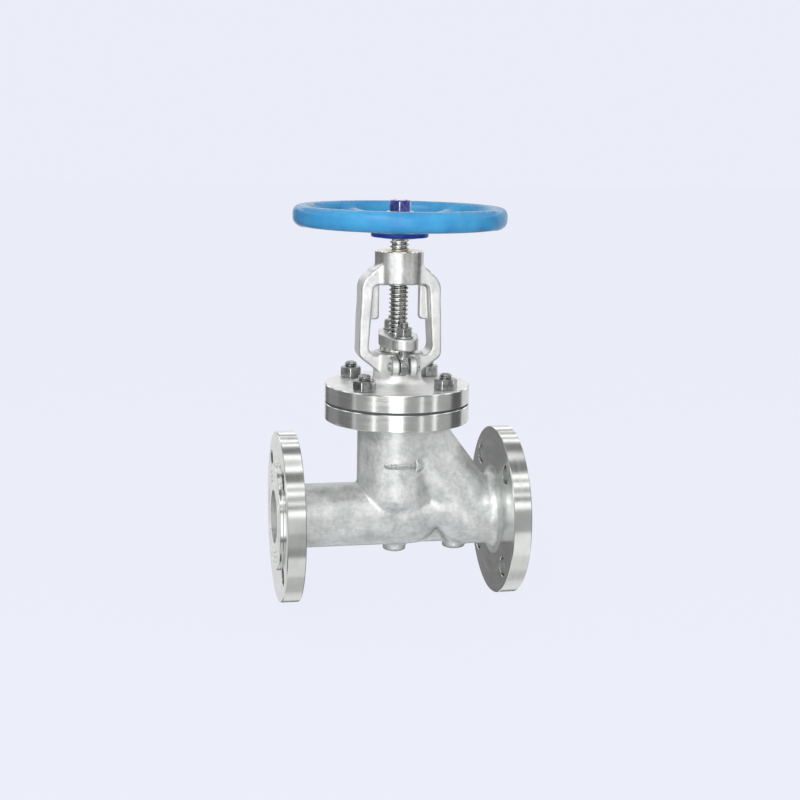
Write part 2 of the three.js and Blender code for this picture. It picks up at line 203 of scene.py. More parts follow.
# Camera, in millimetres from the frame's origin and in degrees
CAMERA_AT = [-262, -1277, 362]
CAMERA_AZIMUTH = -11.73
CAMERA_ELEVATION = 11.0
CAMERA_ROLL = 1.07
CAMERA_LENS = 63.86

# ---------------------------------------------------------------- meshes


def make_object(name, points, faces):
    mesh = bpy.data.meshes.new(name)
    mesh.from_pydata((np.asarray(points) * MM).tolist(), [], faces)
    mesh.update()
    made = bpy.data.objects.new(name, mesh)
    scene.collection.objects.link(made)
    return made


def on_circle(radius, degrees):
    angle = math.radians(degrees)
    return [radius * math.cos(angle), radius * math.sin(angle)]


def arc(x, y, radius, start, end, steps=8):
    turns = np.linspace(start, end, steps + 1)
    return [[x + dx, y + dy] for dx, dy in (on_circle(radius, turn) for turn in turns)]


def paint_faces(obj, index):
    """Gives every face of a mesh the same material index."""
    obj.data.polygons.foreach_set("material_index", [index] * len(obj.data.polygons))


def turned(name, profile, segments, index=0):
    """A profile of [radius, height] points turned about Z; points on the axis close the shape.
    index is the material index of its faces."""
    points, rows, faces = [], [], []
    for radius, height in profile:
        if radius == 0:
            rows.append([len(points)] * segments)
            points.append([0, 0, height])
        else:
            rows.append(list(range(len(points), len(points) + segments)))
            for i in range(segments):
                points.append([*on_circle(radius, 360 * i / segments), height])
    closed = profile[0][0] != 0
    for low, high in zip(rows, rows[1:] + (rows[:1] if closed else [])):
        for i in range(segments):
            j = (i + 1) % segments
            face = [low[i], low[j], high[j], high[i]]
            face = [v for k, v in enumerate(face) if v != face[k - 1]]
            if len(face) > 2:
                faces.append(face)
    made = make_object(name, points, faces)
    paint_faces(made, index)
    return made


def prism(name, outline, z0, z1):
    """An anticlockwise outline drawn out along Z."""
    count = len(outline)
    points = [[x, y, z] for z in (z0, z1) for x, y in outline]
    faces = [[i, (i + 1) % count, (i + 1) % count + count, i + count] for i in range(count)]
    faces += [list(range(count - 1, -1, -1)), list(range(count, 2 * count))]
    return make_object(name, points, faces)


def rectangle(half_x, half_y):
    return [[-half_x, -half_y], [half_x, -half_y], [half_x, half_y], [-half_x, half_y]]


def placed(obj, matrix):
    """Moves a mesh by a matrix whose translation is in metres."""
    obj.data.transform(matrix)
    return obj


def moved(obj, x=0, y=0, z=0):
    return placed(obj, Matrix.Translation((x * MM, y * MM, z * MM)))


def turned_to_x(obj, side=1):
    """Turns +Z to +X, or to -X when side is -1."""
    return placed(obj, Matrix.Rotation(math.radians(90 * side), 4, "Y"))


def combine(obj, other, how):
    """A boolean with another closed mesh, which is used up."""
    modifier = obj.modifiers.new(how, "BOOLEAN")
    modifier.operation = how
    modifier.solver = "MANIFOLD"
    modifier.object = other
    graph = bpy.context.evaluated_depsgraph_get()
    made = bpy.data.meshes.new_from_object(obj.evaluated_get(graph))
    obj.modifiers.clear()
    old = obj.data
    obj.data = made
    bpy.data.meshes.remove(old)
    bpy.data.objects.remove(other)
    return obj


def cut(obj, *cutters):
    for cutter in cutters:
        combine(obj, cutter, "DIFFERENCE")
    return obj


def hole(radius, z0, z1, chamfer, segments=64, index=1):
    """A cutter for a hole about Z from z0 to z1, with chamfered mouths and 2 mm past them."""
    out = radius + chamfer
    profile = [
        [0, z0 - 2], [out + 2, z0 - 2], [radius, z0 + chamfer],
        [radius, z1 - chamfer], [out + 2, z1 + 2], [0, z1 + 2],
    ]
    return turned("hole", profile, segments, index)


def drill_for_studs(obj, z0, z1, chamfer, segments=48, index=1):
    for angle in QUARTERS:
        drill = hole(STUD_R + CLEARANCE, z0, z1, chamfer, segments, index)
        cut(obj, moved(drill, *on_circle(STUD_CIRCLE_R, angle)))


def threaded(name, crest, root, pitch, z0, z1, columns):
    """A rod about Z with a helical thread, a little longer than z0 to z1, to be trimmed."""
    shares = [[0.0, root], [0.12, root], [0.45, crest], [0.62, crest]]
    turns = int(math.ceil((z1 - z0) / pitch)) + 3
    rows = turns * len(shares)
    base = z0 - 1.5 * pitch
    points = []
    for i in range(columns):
        for k in range(rows):
            share, radius = shares[k % len(shares)]
            height = base + pitch * (k // len(shares) + share + i / columns)
            points.append([*on_circle(radius, 360 * i / columns), height])
    faces = []
    last = columns - 1
    step = len(shares)

    def at(i, k):
        return i * rows + k

    for i in range(last):
        for k in range(rows - 1):
            faces.append([at(i, k), at(i + 1, k), at(i + 1, k + 1), at(i, k + 1)])
    for k in range(rows - 1 - step):
        faces.append([at(last, k), at(0, k + step), at(0, k + step + 1), at(last, k + 1)])
    top = [at(i, rows - 1) for i in range(columns)]
    top += [at(last, rows - 1 - k) for k in range(1, step + 1)]
    low = [at(0, k) for k in range(step, 0, -1)]
    low += [at(i, 0) for i in range(columns)]
    points.append([0, 0, base + pitch * (turns + 0.5)])
    points.append([0, 0, base + pitch * 0.5])
    for k in range(len(top)):
        faces.append([top[k], top[(k + 1) % len(top)], len(points) - 2])
    for k in range(len(low)):
        faces.append([low[(k + 1) % len(low)], low[k], len(points) - 1])
    return make_object(name, points, faces)


def screw_rod(name, radius, depth, pitch, z0, z1, dome=1.2, columns=40):
    """A threaded rod about Z with a chamfered foot and a domed top."""
    rod = threaded(name, radius, radius - depth, pitch, z0, z1, columns)
    wide = radius + 1
    edge = radius - 1.1 * depth
    profile = [
        [0, z0], [edge, z0], [radius + 0.02, z0 + depth], [wide, z0 + depth + 1],
        [wide, z1 - dome - depth - 1], [radius + 0.02, z1 - dome - depth], [edge, z1 - dome],
    ]
    for share in np.linspace(0.85, 0.0, 6):
        profile.append([edge * share, z1 - dome * share ** 2])
    return combine(rod, turned("trim", profile, 48), "INTERSECT")


def hex_nut(name, flats, bore, z0, z1, x=0.0, y=0.0, turn=0.0, foot=0.5):
    """A hexagon nut with 30 degree chamfers, softly broken corners and a countersunk bore."""
    offsets = [-29, -26, -20, -12, -4, 4, 12, 20, 26, 29]
    angles = [turn + 60 * side + 30 + off for side in range(6) for off in offsets]
    corner = flats / math.sqrt(3)
    foot_r, crown_r, top_r = 0.48 * flats, 0.47 * flats, 0.455 * flats

    def hexagon(angle):
        off = (angle - turn) % 60 - 30
        return flats / 2 / math.cos(math.radians(off))

    drop = (corner - crown_r) * math.tan(math.radians(30))
    rings = []
    for share in (0, 0.45, 0.8, 1):
        rings.append([foot_r + (corner - foot_r) * share, z0 + foot * share])
    for share in (0, 0.15, 0.3, 0.45, 0.6, 0.75, 0.88, 1):
        rings.append([corner - (corner - crown_r) * share, z1 - drop * (1 - share)])
    rings.append([top_r, z1])
    points = []
    for limit, height in rings:
        for angle in angles:
            radius = min(hexagon(angle), limit)
            points.append([*on_circle(radius, angle), height])
    sink = min(1.0, 0.25 * bore)
    wide = bore + sink
    for radius, height in ([wide, z1], [bore, z1 - sink], [bore, z0 + sink], [wide, z0]):
        points += [[*on_circle(radius, angle), height] for angle in angles]
    around = len(angles)
    faces = []
    for low in range(0, len(points), around):
        high = (low + around) % len(points)
        for i in range(around):
            j = (i + 1) % around
            faces.append([low + i, low + j, high + j, high + i])
    return moved(make_object(name, points, faces), x, y)


def finish_shading(obj, degrees):
    obj.data.polygons.foreach_set("use_smooth", [True] * len(obj.data.polygons))
    obj.data.set_sharp_from_angle(angle=math.radians(degrees))
    obj.data.update()


# ---------------------------------------------------------------- distance fields


def radial(a, b):
    return np.sqrt(a * a + b * b)


def smooth_min(a, b, blend):
    if blend <= 0:
        return np.minimum(a, b)
    near = np.maximum(blend - np.abs(a - b), 0) / blend
    return np.minimum(a, b) - near * near * (blend / 4)


def segment_distance(grid, start, end):
    """Distance from each point to a line from start to end."""
    along = np.array(end, np.float32) - np.array(start, np.float32)
    gaps = [axis - np.float32(value) for axis, value in zip(grid, start)]
    share = sum(gap * a for gap, a in zip(gaps, along)) / np.dot(along, along)
    share = np.clip(share, 0, 1)
    return np.sqrt(sum((gap - share * a) ** 2 for gap, a in zip(gaps, along)))


def extruded(flat, axial, half, rounding):
    """A two-dimensional distance given a half height along its axis, with its edges rounded."""
    side = flat + rounding
    up = np.abs(axial) - (half - rounding)
    outside = np.sqrt(np.maximum(side, 0) ** 2 + np.maximum(up, 0) ** 2)
    return outside + np.minimum(np.maximum(side, up), 0) - rounding


def drum(out, axial, radius, half, rounding=0.0):
    """A disc or shaft, from the distances out from its axis and along it."""
    return extruded(out - radius, axial, half, rounding)


def block(grid, low, high, rounding=0.0):
    parts = []
    for axis, a, b in zip(grid, low, high):
        parts.append(np.abs(axis - (a + b) / 2) - ((b - a) / 2 - rounding))
    outside = np.sqrt(sum(np.maximum(part, 0) ** 2 for part in parts))
    inside = np.minimum(np.maximum(np.maximum(parts[0], parts[1]), parts[2]), 0)
    return outside + inside - rounding


def polygon_distance(points, u, v):
    """Signed distance to a closed outline in two dimensions, negative inside."""
    shape = np.broadcast(u, v).shape
    best = np.full(shape, np.inf)
    inside = np.zeros(shape, bool)
    for (ax, ay), (bx, by) in zip(points, points[1:] + points[:1]):
        ex, ey = bx - ax, by - ay
        share = np.clip(((u - ax) * ex + (v - ay) * ey) / (ex * ex + ey * ey), 0, 1)
        best = np.minimum(best, (u - ax - share * ex) ** 2 + (v - ay - share * ey) ** 2)
        if ay != by:
            inside ^= ((ay > v) != (by > v)) & (u < ex * (v - ay) / ey + ax)
    return (np.where(inside, -1, 1) * np.sqrt(best)).astype(np.float32)


class Field:
    """A signed distance on a regular grid, to which shapes are added and cut from it."""

    def __init__(self, low, high, voxel):
        self.low = np.array(low, np.float32)
        self.voxel = voxel
        counts = [int(math.ceil((b - a) / voxel)) + 1 for a, b in zip(low, high)]
        lines = [a + voxel * np.arange(n, dtype=np.float32) for a, n in zip(low, counts)]
        self.grid = (lines[0][:, None, None], lines[1][None, :, None], lines[2][None, None, :])
        self.value = np.full(counts, 100, np.float32)

    def add(self, distance, blend=0.0):
        self.value = smooth_min(self.value, distance, blend)

    def cut(self, distance, blend=0.0):
        self.value = -smooth_min(-self.value, distance, blend)

    def surface(self, name):
        volume = openvdb.FloatGrid(10.0)
        volume.copyFromArray(np.ascontiguousarray(np.clip(self.value, -9, 9), np.float32))
        points, _, quads = volume.convertToPolygons(0.0, 0.0)
        return make_object(name, self.low + points * self.voxel, quads.tolist())


# ---------------------------------------------------------------- materials


class Nodes:
    """Short calls that add nodes to a node tree."""

    def __init__(self, tree):
        self.tree = tree

    def node(self, kind, inputs=(), **settings):
        made = self.tree.nodes.new("ShaderNode" + kind)
        for key, value in settings.items():
            setattr(made, key, value)
        for key, value in dict(inputs).items():
            self.feed(made.inputs[key], value)
        return made

    def feed(self, socket, value):
        if isinstance(value, bpy.types.NodeSocket):
            self.tree.links.new(value, socket)
        else:
            socket.default_value = value

    def math(self, operation, a, b=0.0, c=0.0):
        return self.node("Math", {0: a, 1: b, 2: c}, operation=operation).outputs[0]

    def mix(self, share, a, b):
        made = self.node("Mix", data_type="RGBA")
        self.feed(made.inputs["Factor"], share)
        for socket, value in ((made.inputs[6], a), (made.inputs[7], b)):
            self.feed(socket, value if isinstance(value, bpy.types.NodeSocket) else (*value, 1))
        return made.outputs[2]


class Finish(Nodes):
    """A procedural material: a Principled shader and the nodes in front of it."""

    def __init__(self, name, **values):
        self.material = bpy.data.materials.new(name)
        self.material.use_nodes = True
        super().__init__(self.material.node_tree)
        self.shader = self.tree.nodes["Principled BSDF"]
        self.set(**values)
        self.place = self.node("TexCoord").outputs["Object"]

    def noise(self, size, detail, place=None, rough=0.5):
        """Noise from 0 to 1 whose lumps are about size metres across."""
        inputs = {"Vector": place or self.place, "Scale": 1 / size}
        inputs |= {"Detail": detail, "Roughness": rough}
        return self.node("TexNoise", inputs).outputs["Fac"]

    def spread(self, value, low, high, to_low=0.0, to_high=1.0):
        """Maps low..high to to_low..to_high, clamped."""
        inputs = {"Value": value, "From Min": low, "From Max": high}
        inputs |= {"To Min": to_low, "To Max": to_high}
        return self.node("MapRange", inputs).outputs["Result"]

    def bump(self, height, distance, strength, normal=None):
        inputs = {"Height": height, "Distance": distance, "Strength": strength}
        if normal is not None:
            inputs["Normal"] = normal
        return self.node("Bump", inputs).outputs["Normal"]

    def edges(self, low, high):
        """From 0 on flats to 1 on outer edges, by the mesh's own curvature."""
        return self.spread(self.node("NewGeometry").outputs["Pointiness"], low, high)

    def set(self, **values):
        for socket, value in values.items():
            self.feed(self.shader.inputs[socket.replace("_", " ")], value)


def blasted(name, light, dark, metal, rough=(0.30, 0.44)):
    """Cast steel, pickled and blasted: pale and half matt, with painted shade darkening its outer
    edges and its corners.
    """
    made = Finish(name, Metallic=metal)
    grains = made.noise(0.0008, 2.0)
    clouds, specks = made.noise(0.018, 4.0), made.noise(0.004, 3.0)
    tone = 0.0
    for share, layer in ((0.42, clouds), (0.28, specks), (0.3, grains)):
        tone = made.math("MULTIPLY_ADD", layer, share, tone)
    colour = made.mix(made.spread(tone, 0.36, 0.64), dark, light)
    # Painted shade: outer edges are darkened towards a dark grey, standing in for the dark lines
    # that edges catch from the studio.
    edge = made.edges(0.512, 0.545)
    colour = made.mix(made.math("MULTIPLY", edge, 0.8), colour, EDGE_GREY)
    # Painted shade: concave corners and creases are darkened to the same grey, where shade would
    # fall.
    hollow = made.edges(0.492, 0.462)
    colour = made.mix(made.math("MULTIPLY", hollow, 0.75), colour, EDGE_GREY)
    made.set(Base_Color=colour, Roughness=made.spread(tone, 0.36, 0.64, *rough))
    pits = made.bump(made.noise(0.0035, 3.0), 0.0002, 0.7)
    made.set(Normal=made.bump(grains, 0.00004, 0.8, pits))
    return made.material


def lathe_lines(made, axis):
    """A place that changes quickly across a turned face's tool marks and slowly along them."""
    parts = made.node("SeparateXYZ", {0: made.place}).outputs
    along = parts[axis]
    others = [parts[i] for i in range(3) if i != axis]
    squares = [made.math("MULTIPLY", part, part) for part in others]
    radius = made.math("SQRT", made.math("ADD", *squares))
    inputs = {
        0: made.math("MULTIPLY", along, 3500.0),
        1: made.math("MULTIPLY", radius, 3500.0),
        2: made.math("MULTIPLY", others[0], 25.0),
    }
    return made.node("CombineXYZ", inputs).outputs[0]


def machined(name, axis, light, dark, rough=(0.10, 0.24)):
    """Turned steel with fine tool marks round the given axis."""
    made = Finish(name, Metallic=1.0)
    lines = made.noise(1.0, 2.0, lathe_lines(made, axis), 0.6)
    stains = made.noise(0.02, 3.0)
    tone = made.math("ADD", made.math("MULTIPLY", lines, 0.5), made.math("MULTIPLY", stains, 0.5))
    colour = made.mix(made.spread(tone, 0.3, 0.7), dark, light)
    made.set(Base_Color=colour, Roughness=made.spread(lines, 0.3, 0.7, *rough))
    made.set(Normal=made.bump(lines, 0.000012, 1.0))
    return made.material


def bright(name, light, dark, rough=(0.12, 0.26)):
    """Rolled or drawn fastener steel with handling marks."""
    made = Finish(name, Metallic=1.0)
    smears = made.noise(0.004, 3.0)
    scratches = made.noise(0.00035, 2.0)
    colour = made.mix(made.spread(smears, 0.35, 0.65), dark, light)
    worn = made.edges(0.53, 0.62)
    colour = made.mix(made.math("MULTIPLY", worn, 0.8), colour, (0.9, 0.9, 0.9))
    made.set(Base_Color=colour, Roughness=made.spread(smears, 0.3, 0.7, *rough))
    made.set(Normal=made.bump(scratches, 0.000008, 0.7))
    return made.material


def enamel(name, colour, shade):
    """Thick half-gloss paint over an uneven casting."""
    made = Finish(name, Coat_Weight=0.2, Coat_Roughness=0.06, Coat_IOR=1.4)
    made.set(Specular_IOR_Level=0.18)
    patches = made.noise(0.03, 3.0)
    worn = made.edges(0.52, 0.6)
    tone = made.mix(made.spread(patches, 0.35, 0.65), shade, colour)
    tone = made.mix(made.math("MULTIPLY", worn, 0.12), tone, (0.25, 0.45, 0.75))
    made.set(Base_Color=tone, Roughness=made.spread(made.noise(0.006, 2.0), 0.3, 0.7, 0.22, 0.38))
    waves = made.bump(made.noise(0.011, 2.0), 0.0008, 0.4)
    made.set(Normal=waves)
    made.set(Coat_Normal=made.bump(made.noise(0.005, 2.0), 0.0002, 0.5, waves))
    return made.material


def matt(name, colour, shade):
    made = Finish(name, Metallic=0.0)
    grains = made.noise(0.0007, 3.0)
    made.set(Base_Color=made.mix(grains, shade, colour))
    made.set(Roughness=made.spread(grains, 0.3, 0.7, 0.65, 0.85))
    made.set(Normal=made.bump(grains, 0.00006, 0.7))
    return made.material


# Dark grey of the painted shade along the cast steel's outer edges and in its corners.
EDGE_GREY = (0.13, 0.135, 0.13)
CAST = blasted("blasted_cast_steel", (0.69, 0.70, 0.69), (0.36, 0.38, 0.37), 0.74)
# Painted light: the bonnet and yoke get a lighter copy of the cast steel, standing in for the
# strong light on their faces.
YOKE_CAST = blasted("cast_steel_painted_lighter", (0.82, 0.82, 0.81), (0.60, 0.61, 0.60), 0.8)
SMOOTH_CAST = blasted(
    "smooth_cast_steel", (0.80, 0.81, 0.80), (0.50, 0.51, 0.50), 1.0, (0.27, 0.36)
)
TURNED_X = machined("turned_steel_across_pipe", 0, (0.80, 0.81, 0.80), (0.62, 0.64, 0.62))
TURNED_Z = machined("turned_steel_round_stem", 2, (0.80, 0.81, 0.80), (0.60, 0.62, 0.60))
FASTENER = bright("bright_fastener_steel", (0.40, 0.41, 0.41), (0.22, 0.23, 0.23))
THREAD = bright("thread_steel", (0.56, 0.57, 0.56), (0.34, 0.35, 0.34), (0.10, 0.20))
BRASS = machined("stem_nut_brass", 2, (0.78, 0.60, 0.30), (0.60, 0.44, 0.20), (0.2, 0.34))
GRAPHITE = matt("graphite", (0.06, 0.06, 0.065), (0.03, 0.03, 0.032))
WHEEL_BLUE = enamel("blue_wheel_enamel", (0.031, 0.19, 0.345), (0.02, 0.138, 0.292))
# Painted shade: a darker copy of the wheel enamel for the underside of the hub.
HUB_BLUE = enamel("hub_enamel_painted_shade", (0.0034, 0.027, 0.19), (0.0026, 0.018, 0.145))
WHEEL_NUT = bright("blue_passivated_steel", (0.14, 0.17, 0.50), (0.05, 0.07, 0.30))


def dress(obj, *materials):
    obj.data.materials.clear()
    for material in materials:
        obj.data.materials.append(material)
    return obj


def stand_for(obj, slot, *nodes, degrees=32):
    """The piece, smooth up to that angle, takes the CAD nodes' place and moves with their body."""
    finish_shading(obj, degrees)
    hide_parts(*nodes)
    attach(obj, BODY_OF[nodes[0]])


# ---------------------------------------------------------------- body casting


def flow_arrow(grid, surface):
    """A plain raised arrow on the front of the bowl that points to the outlet."""
    x, y, z = grid
    tail, head, tip = ARROW_X
    up = np.abs(z - ARROW_Z)
    shaft = np.maximum(up - ARROW_HALF, np.maximum(tail - x, x - head - 1))
    point = np.maximum(up - ARROW_SLOPE * (tip - x), head - x)
    mark = np.where(y < 0, np.minimum(shaft, point), 5)
    return np.maximum(surface - ARROW_PROUD, mark)


def saddle(grid):
    """What joins the inlet's round end to the slanted limb above the notch between them."""
    x, y, z = grid
    across = radial(y / SADDLE["half_y"], (z - SADDLE["z"]) / SADDLE["half_z"]) - 1
    return np.maximum(across * SADDLE["half_z"], np.abs(x - SADDLE["x"]) - SADDLE["half_x"])


def body_field():
    z0, z1 = BODY_FLANGE_Z
    margin = END_FLANGE_R + 4
    field = Field((-FACE - 5, -margin, -margin), (FACE + 5, margin, z1 + 5), BODY_VOXEL)
    x, y, z = field.grid
    about_x, about_z = radial(y, z), radial(x, y)
    field.add(segment_distance(field.grid, (-FACE - 9, 0, 0), (12, 0, 0)) - PIPE_R)
    top = LIMB_END - LIMB_SLOPE * LIMB_LENGTH
    limb = segment_distance(field.grid, top, LIMB_END) - LIMB_R
    outlet = segment_distance(field.grid, LIMB_END * [1, 1, 0], (FACE + 9, 0, 0)) - OUTLET_PIPE_R
    field.add(saddle(field.grid), 4)
    field.add(np.maximum(limb, z - (z0 + 6)), 5)
    field.add(outlet, 2)
    middle = (BOWL_Z + z0 + 8) / 2
    bowl = drum(about_z, z - middle, BOWL_R, z0 + 8 - middle, BOWL_ROUND)
    field.add(np.maximum(bowl, z - (z0 + 6)), 3)
    field.add(flow_arrow(field.grid, bowl), 0.6)
    field.add(block(field.grid, *WEB, 1.5), 3.5)
    for at, low in UNDER_BOSSES:
        boss = drum(radial(x - at, y), z - low / 2, UNDER_BOSS_R, -low / 2, 2.2)
        field.add(boss, 2.6)
    flange_mid = (z0 + z1 + 4) / 2
    field.add(drum(about_z, z - flange_mid, BODY_FLANGE_R + 1.2, z1 + 4 - flange_mid), 4.5)
    flange_mid = (FLANGE_BACK + FACE + 4) / 2
    for side, fillet in END_FILLETS:
        disc = drum(about_x, x - side * flange_mid, END_FLANGE_R + 1.5, FACE + 4 - flange_mid)
        field.add(disc, fillet)
    way = segment_distance(field.grid, (-FACE - 12, 0, 0), (8, 0, 0)) - BORE_R
    way = smooth_min(way, drum(about_z, z - 20, SEAT_BORE_R, 22), 3)
    top = LIMB_BORE_END - LIMB_SLOPE * LIMB_BORE_LENGTH
    way = np.minimum(way, segment_distance(field.grid, top, LIMB_BORE_END) - LIMB_BORE_R)
    way = smooth_min(way, drum(about_x, x - 100, BORE_R, 28), 3)
    field.cut(way, 1.2)
    return field


def end_machining():
    """What a lathe takes off one end: the face, the rim and the raised face with its grooves."""
    r, t = RAISED_FACE_R, FACE
    profile = [[0, t], [BORE_R, t]]
    for groove in (34, 38.5, 43):
        profile += [[groove - 0.5, t], [groove - 0.2, t - 0.35]]
        profile += [[groove + 0.2, t - 0.35], [groove + 0.5, t]]
    profile += [
        [r - 0.4, t], [r, t - 0.4], [r, FLANGE_FRONT + 0.4], [r + 0.4, FLANGE_FRONT],
        [END_FLANGE_R - 0.7, FLANGE_FRONT], [END_FLANGE_R, FLANGE_FRONT - 0.7],
        [END_FLANGE_R, FLANGE_BACK + 0.6], [END_FLANGE_R - 0.6, FLANGE_BACK - 0.05],
        [END_FLANGE_R + 9, FLANGE_BACK - 0.05], [END_FLANGE_R + 9, t + 20], [0, t + 20],
    ]
    return turned("end_machining", profile, 192, 1)


def top_machining():
    z0, z1 = BODY_FLANGE_Z
    r = BODY_FLANGE_R
    profile = [
        [0, SEAT_Z], [SEAT_LIP_R, SEAT_Z], [SEAT_LIP_R, CHAMBER_FLOOR_Z],
        [CHAMBER_R, CHAMBER_FLOOR_Z], [CHAMBER_R, z1 - 0.5], [CHAMBER_R + 0.5, z1],
        [r - 0.6, z1], [r, z1 - 0.6], [r, z0 + 0.6], [r - 0.6, z0 - 0.05],
        [r + 9, z0 - 0.05], [r + 9, z1 + 20], [0, z1 + 20],
    ]
    return turned("top_machining", profile, 192, 2)


def make_body():
    obj = body_field().surface("detailed_body_casting")
    dress(obj, CAST, TURNED_X, TURNED_Z)
    for side in (-1, 1):
        cut(obj, turned_to_x(end_machining(), side))
        for angle in QUARTERS:
            drill = turned_to_x(hole(BOLT_HOLE_R, FLANGE_BACK, FLANGE_FRONT, 0.5), side)
            cut(obj, moved(drill, 0, *on_circle(BOLT_CIRCLE_R, angle)))
    cut(obj, top_machining())
    drill_for_studs(obj, BODY_FLANGE_Z[0] + 2, BODY_FLANGE_Z[1], 0.5, index=2)
    for polygon in obj.data.polygons:
        x = polygon.center.x / MM
        flat = abs(polygon.normal.x) > 0.999 and abs(abs(x) - FLANGE_BACK) < 0.2
        if polygon.material_index == 0 and flat:
            polygon.material_index = 1
    stand_for(obj, "cast_steel", "body_casting")


# ---------------------------------------------------------------- bonnet and yoke


def yoke_outline():
    right = [[12, 131.5], [19.3, 137], [29.8, 145.3]]
    right += arc(28.6, 157, 10, -47, 8, 12) + [[38, 185], [37, 203]]
    right += arc(19.8, 213.2, 17.2, 0, 62, 16) + [[26, 231.3], [22, 233.8], [15, 237]]
    return right + [[-x, z] for x, z in reversed(right)]


def window_outline():
    z0, z1 = WINDOW_Z
    low, high = 8, 6
    right = arc(WINDOW_HALF[0] - low, z0 + low, low, -90, 0)
    right += arc(WINDOW_HALF[1] - high, z1 - high, high, 0, 90)
    return right + [[-x, z] for x, z in reversed(right)]


def rib_outline():
    x0, x1 = RIB_X
    top = WINDOW_Z[1] + 1
    corner = arc(x0 + 3, RIB_BOTTOM_Z + 3, 3, 180, 270)
    return corner + [[x1, RIB_BOTTOM_Z], [x1, top], [x0, top]]


def bonnet_field():
    z0, z1 = BONNET_FLANGE_Z
    wide = BODY_FLANGE_R + 3
    field = Field((-wide, -wide, yoke_low[2] - 2), (wide, wide, HEAD_TOP_Z + 3), YOKE_VOXEL)
    x, y, z = field.grid
    about_z = radial(x, y)
    flange_mid = (z0 - 1 + z1) / 2
    field.add(drum(about_z, z - flange_mid, BODY_FLANGE_R + 1.2, z1 - flange_mid))
    neck_mid = (z0 + NECK_TOP_Z) / 2
    neck = drum(about_z, z - neck_mid, NECK_R, NECK_TOP_Z - neck_mid, 1.0)
    field.add(neck, 9)
    flat_x, flat_z = x[:, :, 0], z[0]
    outline = polygon_distance(yoke_outline(), flat_x, flat_z)
    window = polygon_distance(window_outline(), flat_x, flat_z)
    sheet = np.maximum(outline, -window)[:, None, :]
    solid = outline[:, None, :]
    foot = np.maximum(extruded(solid, y, YOKE_DEPTH / 2, 1.3), z - WINDOW_Z[0])
    field.add(foot, 2)
    field.add(extruded(sheet, y, YOKE_DEPTH / 2, 1.3), 0.8)
    for side in (-1, 1):
        rib = polygon_distance(rib_outline(), side * flat_x, flat_z)[:, None, :]
        field.add(extruded(rib, y, RIB_DEPTH / 2, 1.0), 2.0)
    head_mid = (WINDOW_Z[1] + HEAD_TOP_Z + 3) / 2
    head = drum(about_z, z - head_mid, NECK_R, HEAD_TOP_Z + 3 - head_mid, 0.8)
    field.add(head, 3.2)
    half = (EAR_X[1] - EAR_X[0]) / 2
    for side in (-1, 1):
        middle = side * sum(EAR_X) / 2
        for end in (-1, 1):
            eye = drum(radial(y - end * EYE_Y, z - EYE_Z), x - middle, EAR_R, half, 1.0)
            y0, y1 = sorted((end * 14, end * EYE_Y))
            low = (middle - half, y0, EYE_Z - EAR_R)
            high = (middle + half, y1, EYE_Z + EAR_R)
            field.add(np.minimum(eye, block(field.grid, low, high, 1.0)), 2.2)
    for end in (-1, 1):
        y0, y1 = sorted((end * EYE_SLOT_Y[0], end * EYE_SLOT_Y[1]))
        low = (-EAR_X[0], y0, EYE_Z - EAR_R - 0.3)
        field.cut(block(field.grid, low, (EAR_X[0], y1, NECK_TOP_Z + 3)), 0.6)
    return field


def bonnet_machining():
    """What is turned off the flange's rim and its lower face."""
    z0, z1 = BONNET_FLANGE_Z
    r = BODY_FLANGE_R
    outer = [
        [r - 0.8, z1 + 0.05], [r, z1 - 0.75], [r, z0 + 0.6], [r - 0.6, z0], [CHAMBER_R - 0.3, z0],
        [0, z0], [0, z0 - 9], [r + 9, z0 - 9], [r + 9, z1 + 0.05],
    ]
    return turned("bonnet_machining", outer, 192, 1)


def spigot_piece():
    """The plug below the flange that fits the body's chamber, and the back seat under it."""
    z0, z1 = yoke_low[2], BONNET_FLANGE_Z[0] + 1
    r = CHAMBER_R - 0.3
    profile = [
        [0, z0], [15.4, z0], [16, z0 + 0.6], [18, SPIGOT_Z],
        [r - 0.5, SPIGOT_Z], [r, SPIGOT_Z + 0.5], [r, z1], [0, z1],
    ]
    return turned("spigot", profile, 128, 1)


def head_facing():
    z, r = HEAD_TOP_Z, NECK_R
    profile = [[0, z], [r - 0.8, z], [r + 0.3, z - 1.1], [r + 9, z - 1.1]]
    profile += [[r + 9, z + 9], [0, z + 9]]
    return turned("head_facing", profile, 96, 1)


def stuffing_box():
    z0, z1, r = STUFFING_FLOOR_Z, NECK_TOP_Z, STUFFING_BOX_R
    profile = [[0, z0], [r, z0], [r, z1 - 0.6], [r + 3, z1 + 2.4], [0, z1 + 2.4]]
    return turned("stuffing_box", profile, 96, 1)


